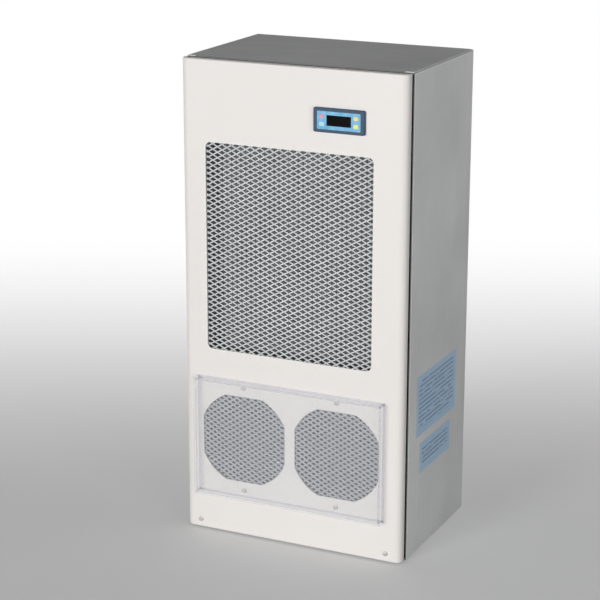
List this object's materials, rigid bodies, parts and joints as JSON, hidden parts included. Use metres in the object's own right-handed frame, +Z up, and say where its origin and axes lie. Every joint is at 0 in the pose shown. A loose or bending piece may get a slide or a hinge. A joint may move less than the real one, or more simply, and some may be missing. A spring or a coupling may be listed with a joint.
{
  "type": "enclosure air conditioner",
  "caption": "Compact box-shaped air conditioner for an equipment cabinet: white front cover with mesh intake, controller and clear-hooded fans on a bare steel casing.",
  "frame": {"origin": "on the floor, under the middle of the unit's width and of its depth with the clear hood", "axes": "+Z up; the front cover faces -Y; +X to the right seen from the front"},
  "size_m": [0.352, 0.263, 0.716],
  "materials": {
    "cover_paint": "warm white semi-gloss powder coat",
    "mesh_steel": "pale coated expanded metal",
    "clear_sheet": "clear acrylic sheet with polished edges",
    "bezel_plastic": "dark slate blue, fine matt",
    "face_film": "sky blue printed film",
    "display_window": "black window",
    "key_pink": "pink key",
    "key_cyan": "pale cyan key",
    "key_yellow": "yellow key",
    "foam": "black closed-cell foam",
    "casing_steel": "bare satin grey sheet",
    "grommet_rubber": "black rubber",
    "fan_black": "black",
    "fin_aluminium": "dull fins"
  },
  "bodies": {
    "root": {"front_cover": "cover_paint", "intake_grille": "mesh_steel", "fan_mesh_left": "mesh_steel", "fan_mesh_right": "mesh_steel", "hood_front": "clear_sheet", "hood_top_wall": "clear_sheet", "hood_bottom_wall": "clear_sheet", "hood_left_wall": "clear_sheet", "hood_right_wall": "clear_sheet", "controller_bezel": "bezel_plastic", "controller_face": "face_film", "controller_display": "display_window", "controller_key_set": "key_pink", "controller_key_mode": "key_cyan", "controller_key_up": "key_yellow", "controller_key_down": "key_yellow", "controller_housing": "bezel_plastic", "gasket": "foam", "left_side_panel": "casing_steel", "right_side_panel": "casing_steel", "top_panel": "casing_steel", "bottom_panel": "casing_steel", "back_panel": "casing_steel", "cable_grommet": "grommet_rubber", "fan_frame_left": "fan_black", "fan_frame_right": "fan_black", "fan_rotor_left": "fan_black", "fan_rotor_right": "fan_black", "coil_fins": "fin_aluminium", "coil_bracket_left": "casing_steel", "coil_bracket_right": "casing_steel"}
  },
  "joints": []
}
